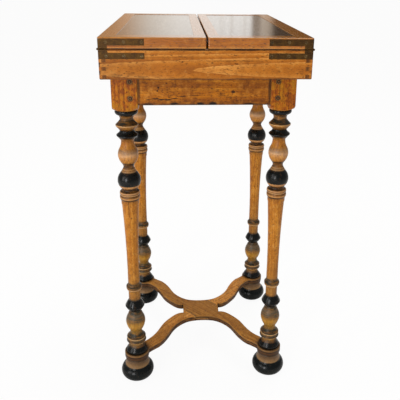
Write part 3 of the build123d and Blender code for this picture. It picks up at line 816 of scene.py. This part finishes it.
def laps_and_pads(tree, place, clouds, colour):
    """The dark lines of the half-lap and the dark pads over the feet."""
    parts = add_node(tree, "ShaderNodeSeparateXYZ", {0: place})
    across = add_node(tree, "ShaderNodeMath", {0: parts["X"], 1: parts["Y"]}, operation="ADD")[0]
    reach = add_node(tree, "ShaderNodeMath", {0: across}, operation="ABSOLUTE")[0]
    line = add_node(
        tree, "ShaderNodeMath", {0: reach, 1: LAP_LINE_MM * MM, 2: LAP_HALF_WIDTH_MM * MM},
        operation="COMPARE",
    )[0]
    broken = add_node(tree, "ShaderNodeMath", {0: clouds, 1: LAP_DARK}, operation="MULTIPLY")[0]
    dark = add_node(
        tree, "ShaderNodeMath", {0: line, 1: broken}, operation="MULTIPLY", use_clamp=True
    )[0]
    flat = add_node(
        tree, "ShaderNodeVectorMath", {0: place, 1: (1.0, 1.0, 0.0)}, operation="MULTIPLY"
    )[0]
    from_middle = add_node(tree, "ShaderNodeVectorMath", {0: flat}, operation="LENGTH")["Value"]
    pad = add_node(
        tree, "ShaderNodeMapRange",
        {"Value": from_middle, "From Min": PAD_START_MM * MM,
         "From Max": (PAD_START_MM + PAD_FADE_MM) * MM, "To Max": PAD_DARK},
    )[0]
    colour = add_node(
        tree, "ShaderNodeMix", {0: pad, 6: colour, 7: linear("#3E2E1C")}, data_type="RGBA"
    )[2]
    return add_node(
        tree, "ShaderNodeMix", {0: dark, 6: colour, 7: linear("#1A0E06")}, data_type="RGBA"
    )[2]


lower_tones = dict(
    stretcher_tones, rings=[(0.0, "#B0691E"), (0.3, "#C47C2A"), (0.6, "#D48E3A"), (1.0, "#DE9C4A")]
)
for key, pith, turn, tones in (
    ("stretcher_upper", (0, 0, 20), -math.pi / 4, stretcher_tones),
    ("stretcher_lower", (10, 12, 96), math.pi / 4, lower_tones),
):
    finishes[key] = oak(
        "sawn_oak_" + key, pith, (0.0, 0.02, turn), tones, ring=3.4 * MM, darken=laps_and_pads,
        patina_and_light=[STRETCHER_PATINA_AND_HIGHLIGHT], depth=6 * MM, edge=3 * MM, wear=0.35, neighbours=True,
    )
print("pads darken from", PAD_START_MM, "mm out")

# %% [markdown]
# ### Apron frame
# The four aprons are quarter-sawn, with straight grain. The front one has had a hard life: three
# wormholes, a crack near its lower edge, chips along that edge and a small knot. Painted shade lies
# beside both blocks and, on every apron, along the top under the case. The pegs are split from oak,
# and their end grain is dark.

# %% Aprons and pegs
apron_tones = {
    "rings": [(0.0, "#7A3F02"), (0.25, "#9C5604"), (0.6, "#B86C08"), (1.0, "#D28A24")],
    "streak": "#482206", "pore": "#2E1604", "patch": "#824608",
    "grime_and_shade": "#1A0F06", "worn": "#CC8A34",
}
FRONT_MARKS = [
    # wormholes
    ((-85.7, -170, 659.9), (2.6, 3, 2.5), 1.0),
    ((-87.6, -170, 653.6), (2.3, 3, 2.2), 1.0),
    ((-71.0, -170, 668.0), (2.0, 3, 2.0), 0.8),
    # the crack, from left to right
    ((-104, -170, 637.0), (7, 4, 1.3), 0.9),
    ((-92, -170, 638.8), (9, 4, 1.5), 1.0),
    ((-80, -170, 637.4), (8, 4, 1.7), 1.0),
    ((-68, -170, 637.0), (9, 4, 1.7), 1.0),
    ((-56, -170, 639.4), (9, 4, 1.5), 0.9),
    ((-42, -170, 642.6), (12, 4, 1.2), 0.75),
    ((-18, -170, 645.0), (18, 4, 1.1), 0.6),
    # chips of the lower edge, and the knot at a height of 651.6
    ((-56.4, -170, 628.4), (11, 5, 5.0), 1.0),
    ((-8.5, -170, 629.0), (9, 5, 4.4), 1.0),
    ((15.1, -170, 628.8), (10, 5, 5.2), 1.0),
    ((52.8, -170, 651.6), (5.0, 3, 3.6), 0.9),
    ((84, -170, 628.0), (16, 5, 3.4), 0.95),
    ((-105, -170, 628.6), (13, 5, 3.4), 0.85),
    # painted shade beside the blocks
    ((-122, -170, 660), (4.0, 5, 40), 0.7),
    ((122, -170, 660), (4.4, 5, 40), 0.75),
]
# dark along the lower edge, and painted shade along the top, under the case
APRON_PATINA_AND_SHADE = [
    (626, "#1A0F06F0"), (628.5, "#2A1A0CA0"), (632, "#3A241020"), (640, "#3A241000"),
    (686, "#3A241000"), (690, "#2A1A0CA0"),
]
APRONS = {
    "apron_front": ((0, -60, 640), (0.0, 0.012, 0.0), FRONT_MARKS),
    "apron_back": ((0, 70, 700), (0.0, -0.01, 0.0), ()),
    "apron_side": ((40, 0, 600), (0.01, 0.0, math.pi / 2), ()),
}
for key, (pith, turn, marks) in APRONS.items():
    finishes[key] = oak(
        "quartered_oak_" + key, pith, turn, apron_tones, ring=3.4 * MM, wander=6 * MM,
        patina_and_light=[APRON_PATINA_AND_SHADE], marks=marks, neighbours=True, wear=0.4, roughness=0.35,
        patches=0.75, streaks=0.6,
    )
peg_tones = dict(apron_tones, rings=[(0.0, "#7A4A1C"), (0.5, "#8E5A24"), (1.0, "#A26A30")])
finishes["peg"] = oak(
    "split_oak_pegs", (0, 0, 640), GRAIN_Z, peg_tones, ring=1.4 * MM, darken=peg_rings,
    depth=2.5 * MM, neighbours=True, wear=0.0, roughness=0.5,
)
print("the front apron has", len(FRONT_MARKS), "marks")

# %% [markdown]
# ### Case
# The front of the case is flat-sawn, and its figure is a pale tongue that points left with dark
# lines arching round it. That is the log's middle passing 20 mm behind the face and coming
# nearer to the right. The side boards run front to back, and their dovetails show the ends of
# the grain, which drank more stain and stand out as dark squares.

# %% Marks of the case
case_tones = {
    "rings": [(0.0, "#884A10"), (0.2, "#9C5712"), (0.55, "#B26A1C"), (1.0, "#D08E42")],
    "streak": "#7A4411", "pore": "#52300E", "patch": "#A25E14",
    "grime_and_shade": "#221306", "worn": "#D49A4A",
}
# dirt along the lower edge, and painted shade of the gap under the leaves along the upper edge
CASE_PATINA_AND_GAP_SHADE = [
    (690.0, "#1A0E04F0"), (690.7, "#3A200AB0"), (692.6, "#6A401430"), (695, "#4A2A0E00"),
    (737.6, "#3A200A00"), (738.8, "#2A1606B0"), (739.8, "#180C04F0"), (740.1, "#3A200A30"),
]
CASE_MARKS = [
    # two bruises
    ((-41.4, -250, 719.9), (2.6, 3, 1.6), 0.9),
    ((50.4, -250, 716.4), (3.0, 3, 1.4), 0.8),
    # the darker left end
    ((-140, -250, 708), (64, 5, 40), 0.16),
    ((-152, -250, 697), (14, 5, 4.5), 0.45),
    ((-128, -250, 700), (12, 5, 3.5), 0.35),
    ((-110, -250, 694.5), (14, 5, 3.0), 0.45),
    # dirt along the lower edge
    ((-30, -250, 690.4), (46, 4, 2.8), 0.5),
    ((64, -250, 690.4), (34, 4, 2.6), 0.5),
    ((130, -250, 690.2), (28, 4, 2.8), 0.5),
    # scratches along the grain
    ((45, -250, 721.5), (62, 3, 0.9), 0.65),
    ((-60, -250, 727.0), (70, 3, 0.7), 0.4),
    # the corners, painted shade down the rounded left edge, and painted shade of the gap under the
    # leaves along the upper edge
    ((178, -250, 692.5), (6, 4, 4), 0.8),
    ((-179.6, -250, 712), (3.0, 4, 26), 0.85),
    ((-177, -250, 694), (7, 4, 5), 0.7),
    ((-100, -250, 739.6), (30, 4, 1.6), 0.8),
    ((-20, -250, 739.6), (24, 4, 1.8), 0.8),
    ((60, -250, 739.6), (28, 4, 1.5), 0.8),
]
print("the case's front has", len(CASE_MARKS), "marks")

# %% Dovetail ends
TAIL_DARK_MM = 175.4   # the inner half of each tail's end is dark out to here, then fades
TAIL_PALE_MM = 177.8
TAIL_RAGGED_MM = 4.0   # how far the clouds pull those lines in
CASE_FACE_MM = 250.0


def dark_tail_ends(tree, place, clouds, colour):
    """Darkens the inner half of the tails' ends, in the front and back faces of the case."""
    parts = add_node(tree, "ShaderNodeSeparateXYZ", {0: place})
    end_reach = add_node(tree, "ShaderNodeMath", {0: parts["Y"]}, operation="ABSOLUTE")[0]
    end = add_node(
        tree, "ShaderNodeMapRange",
        {"Value": end_reach, "From Min": (CASE_FACE_MM - 0.5) * MM,
         "From Max": (CASE_FACE_MM - 0.1) * MM},
    )[0]
    side_reach = add_node(tree, "ShaderNodeMath", {0: parts["X"]}, operation="ABSOLUTE")[0]
    ragged = add_node(
        tree, "ShaderNodeMath",
        {0: clouds, 1: TAIL_RAGGED_MM * MM, 2: side_reach}, operation="MULTIPLY_ADD",
    )[0]
    inner = add_node(
        tree, "ShaderNodeMapRange",
        {"Value": ragged, "From Min": TAIL_DARK_MM * MM, "From Max": TAIL_PALE_MM * MM,
         "To Min": 0.75, "To Max": 0.1},
    )[0]
    dark = add_node(tree, "ShaderNodeMath", {0: end, 1: inner}, operation="MULTIPLY")[0]
    return add_node(
        tree, "ShaderNodeMix", {0: dark, 6: colour, 7: linear("#3E200A")}, data_type="RGBA"
    )[2]


print("tails are dark out to", TAIL_DARK_MM, "mm from the middle")

# %% Case
finishes["case_front"] = oak(
    "flat_sawn_oak_case_front", (-41.5, -230, 706.4), (0.0, 0.0, -0.030), case_tones,
    ring=6.5 * MM, wander=1.6 * MM, ring_share=0.85, patina_and_light=[CASE_PATINA_AND_GAP_SHADE], marks=CASE_MARKS,
    mark_colour="#2A1606", wear=0.0, roughness=0.34, streaks=0.22, patches=0.45,
)
finishes["case_back"] = oak(
    "flat_sawn_oak_case_back", (30, 222, 722), (0.0, 0.0, 0.016), case_tones, ring=5.0 * MM,
    wander=2.4 * MM, patina_and_light=[CASE_PATINA_AND_GAP_SHADE], wear=0.0, roughness=0.34,
)
finishes["case_side"] = oak(
    "flat_sawn_oak_case_sides", (10, 0, 712), (0.0, 0.0, math.pi / 2 + 0.02), case_tones,
    ring=4.2 * MM, patina_and_light=[CASE_PATINA_AND_GAP_SHADE], darken=dark_tail_ends, wear=0.0, roughness=0.34,
)
print("the front of the case is", finishes["case_front"].name)

# %% [markdown]
# ### Leaves
# Each leaf is a frame round a panel. The frames are oak like the case. Their tops were French
# polished like the panels, and hands have dulled that polish a little. The foot of each frame's
# face is painted with shade, and both its arrises with painted highlights.

# %% Leaf frames
LEAF_PAINTED_SHADE_AND_HIGHLIGHTS = [
    # the painted shadow line under a leaf, a painted highlight on its lower arris, its face and a
    # painted highlight on its upper arris
    (741.0, "#180C0400"), (741.2, "#180C04F0"), (742.0, "#2A1606C0"), (742.3, "#C8883A80"),
    (743.6, "#C8883A60"), (744.4, "#8A4A1000"), (757.8, "#8A4A1000"), (759.0, "#CE984C70"),
    (760, "#CE984C30"),
]
leaf_tones = {
    "rings": [(0.0, "#844402"), (0.25, "#965002"), (0.55, "#A45B04"), (1.0, "#B87014")],
    "streak": "#6A380A", "pore": "#42220A", "patch": "#8E4E0A",
    "grime_and_shade": "#221306", "worn": "#C88C3E",
}
for key, pith, turn in (
    ("leaf_rail", (0, 0, 800), (0.0, 0.015, 0.0)),
    ("leaf_stile", (60, 0, 700), (0.015, 0.0, math.pi / 2)),
):
    finishes[key] = oak(
        "polished_oak_" + key, pith, turn, leaf_tones, wander=6 * MM, patina_and_light=[LEAF_PAINTED_SHADE_AND_HIGHLIGHTS],
        roughness=0.26, bump=0.08, ior=SHELLAC_IOR, coat=0.7, streaks=0.4, wear=0.0,
    )
    print(key, "is", finishes[key].name)

# %% [markdown]
# ### Panels
# The panels are a darker wood under French polish: many thin coats of shellac, rubbed to a
# mirror. A coat over the wood gives the mirror, and the wood below keeps its soft brown.

# %% Dark panels under French polish
panel_tones = {
    "rings": [(0.0, "#38230F"), (0.3, "#4A2F18"), (0.7, "#573A20"), (1.0, "#614325")],
    "streak": "#2A190C", "pore": "#1D1108", "patch": "#40280F",
    "grime_and_shade": "#170D06", "worn": "#6A4A28",
}
finishes["panel"] = oak(
    "dark_panel_french_polished", (0, 0, 640), (0.02, 0.0, math.pi / 2), panel_tones, ring=4.0 * MM,
    grime_and_shade=0.5, wear=0.2, roughness=0.30, bump=0.05, ior=SHELLAC_IOR, coat=1.0,
)
print("panels are", finishes["panel"].name)

# %% [markdown]
# ### Inside
# Battens, bearers and the case bottom were never stained or waxed, so they are pale and dry. The
# chessboard is polished maple and walnut in a walnut border.

# %% Bare oak and the chessboard
bare_tones = {
    "rings": [(0.0, "#8A6844"), (0.3, "#A07C54"), (1.0, "#B49068")],
    "streak": "#7C5A36", "pore": "#5E4228", "patch": "#957048",
    "grime_and_shade": "#3E2C1A", "worn": "#C4A47C",
}
finishes["inner"] = oak(
    "bare_oak", (30, 0, 640), GRAIN_X, bare_tones, ring=3.0 * MM, roughness=0.62, grime_and_shade=0.5,
    wear=0.3,
)
maple_tones = {
    "rings": [(0.0, "#B08850"), (0.5, "#C09A60"), (1.0, "#CCA870")],
    "streak": "#A67E46", "pore": "#967040", "patch": "#B48C52",
    "grime_and_shade": "#5E4022", "worn": "#D4B684",
}
walnut_tones = {
    "rings": [(0.0, "#2E1B10"), (0.4, "#3F2717"), (1.0, "#4C311D")],
    "streak": "#22130A", "pore": "#180D06", "patch": "#38210F",
    "grime_and_shade": "#140A05", "worn": "#5E4028",
}
border_tones = dict(walnut_tones, rings=[(0.0, "#4A2A16"), (0.5, "#5C381E"), (1.0, "#6A4426")])
BOARD = {
    "light_square": ("polished_maple_squares", (0, 0, 700), GRAIN_Y, maple_tones),
    "dark_square": ("polished_walnut_squares", (15, 0, 690), GRAIN_Y, walnut_tones),
    "border": ("polished_walnut_border", (0, 0, 690), GRAIN_X, border_tones),
}
for key, (name, pith, turn, tones) in BOARD.items():
    finishes[key] = oak(
        name, pith, turn, tones, ring=2.4 * MM, roughness=0.28, streaks=0.25, bump=0.06, wear=0.2,
    )
print("the inside has", ", ".join(["inner", *BOARD]))

# %% [markdown]
# ## Metal
# The hinges are sheet brass that was never cleaned. Brass goes brown-green in still air, and
# where fingers touch it the yellow comes back: in rubbed specks and in fine scratches. Oxide is
# not a metal, so the metallic value is lower where it is thick.

# %% Tarnished brass and screws
TARNISH_CLOUD = 9 * MM
SCRATCH = 0.7 * MM
SCRATCH_RUN = (0.06, 1.0, 1.0)


def tarnished(name, oxide, metal, bare_share, roughness, speck_mm):
    """An old metal: oxide over the whole, with scratches and rubbed specks of bare metal."""
    old = bpy.data.materials.new(name)
    old.use_nodes = True
    tree = old.node_tree
    tree.nodes.clear()
    place = add_node(tree, "ShaderNodeTexCoord")["Object"]
    cloud = add_node(
        tree, "ShaderNodeTexNoise",
        {"Vector": place, "Scale": 1 / TARNISH_CLOUD, "Detail": 5.0, "Roughness": 0.65},
    )["Fac"]
    base = add_node(
        tree, "ShaderNodeValToRGB",
        {0: cloud}, stops=[(0.30, oxide[0]), (0.52, oxide[1]), (0.72, oxide[2])],
    )[0]
    specks = add_node(
        tree, "ShaderNodeTexNoise",
        {"Vector": place, "Scale": 1 / (speck_mm * MM), "Detail": 3.0, "Roughness": 0.7},
    )["Fac"]
    bare = add_node(
        tree, "ShaderNodeMapRange",
        {"Value": specks, "From Min": 0.56, "From Max": 0.70, "To Max": bare_share},
    )[0]
    along = add_node(
        tree, "ShaderNodeVectorMath", {0: place, 1: SCRATCH_RUN}, operation="MULTIPLY"
    )[0]
    lines = add_node(
        tree, "ShaderNodeTexNoise", {"Vector": along, "Scale": 1 / SCRATCH, "Detail": 2.0}
    )["Fac"]
    scratch = add_node(
        tree, "ShaderNodeMapRange",
        {"Value": lines, "From Min": 0.64, "From Max": 0.70, "To Max": bare_share},
    )[0]
    shown = add_node(tree, "ShaderNodeMath", {0: bare, 1: scratch}, operation="MAXIMUM")[0]
    colour = add_node(
        tree, "ShaderNodeMix", {0: shown, 6: base, 7: linear(metal)}, data_type="RGBA"
    )[2]
    metallic = add_node(
        tree, "ShaderNodeMapRange",
        {"Value": shown, "From Max": 0.5, "To Min": 0.65, "To Max": 0.95},
    )[0]
    shine = add_node(
        tree, "ShaderNodeMapRange",
        {"Value": cloud, "From Min": 0.3, "From Max": 0.7, "To Min": roughness - 0.08,
         "To Max": roughness + 0.14},
    )[0]
    relief = add_node(tree, "ShaderNodeMath", {0: cloud, 1: scratch}, operation="SUBTRACT")[0]
    raised = add_node(
        tree, "ShaderNodeBump", {"Strength": 0.2, "Distance": 0.2 * MM, "Height": relief}
    )[0]
    skin = add_node(
        tree, "ShaderNodeBsdfPrincipled",
        {"Base Color": colour, "Metallic": metallic, "Roughness": shine, "Normal": raised},
    )
    add_node(tree, "ShaderNodeOutputMaterial", {"Surface": skin[0]})
    return old


finishes["brass"] = tarnished(
    "tarnished_sheet_brass", ("#382104", "#482D06", "#5E400E"), "#9A7638", 0.35, 0.48, 1.6
)
finishes["screw"] = tarnished(
    "tarnished_turned_screws", ("#3A2A14", "#50391A", "#6E5228"), "#C0A878", 0.7, 0.4, 0.9
)
print("metals are", finishes["brass"].name, "and", finishes["screw"].name)

# %% [markdown]
# ## Give every piece its finish
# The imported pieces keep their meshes. Only the material in each one's slot changes.

# %% Finish each piece
FINISH_OF = {
    "leg_": "leg", "foot_": "foot", "apron_battens": "inner", "apron_front": "apron_front",
    "apron_back": "apron_back", "apron_left": "apron_side", "apron_right": "apron_side",
    "stretcher_upper_half": "stretcher_upper", "stretcher_lower_half": "stretcher_lower",
    "tenon_pegs": "peg", "case_bottom": "inner", "case_fixing_screws": "screw",
    "case_front": "case_front", "case_back": "case_back", "case_left": "case_side",
    "case_right": "case_side", "case_hinge_screws": "screw", "case_hinge_plate": "brass",
    "well_divider": "inner", "board_bearers": "inner", "board_ground": "inner",
    "board_border": "border", "board_light_squares": "light_square",
    "board_dark_squares": "dark_square", "hinge_pins": "brass",
}
LEAF_FINISH_OF = {
    "outer_stile": "leaf_stile", "inner_stile": "leaf_stile", "front_rail": "leaf_rail",
    "back_rail": "leaf_rail", "panel": "panel", "front_hinge_plate": "brass",
    "back_hinge_plate": "brass", "hinge_screws": "screw",
}
for side in ("left", "right"):
    for member, finish in LEAF_FINISH_OF.items():
        FINISH_OF[f"{side}_leaf_{member}"] = finish
for name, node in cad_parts.items():
    start = max((key for key in FINISH_OF if name.startswith(key)), key=len)
    for socket in node.material_slots:
        socket.material = finishes[FINISH_OF[start]]
print(len(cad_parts), "pieces finished with", len(finishes), "materials")
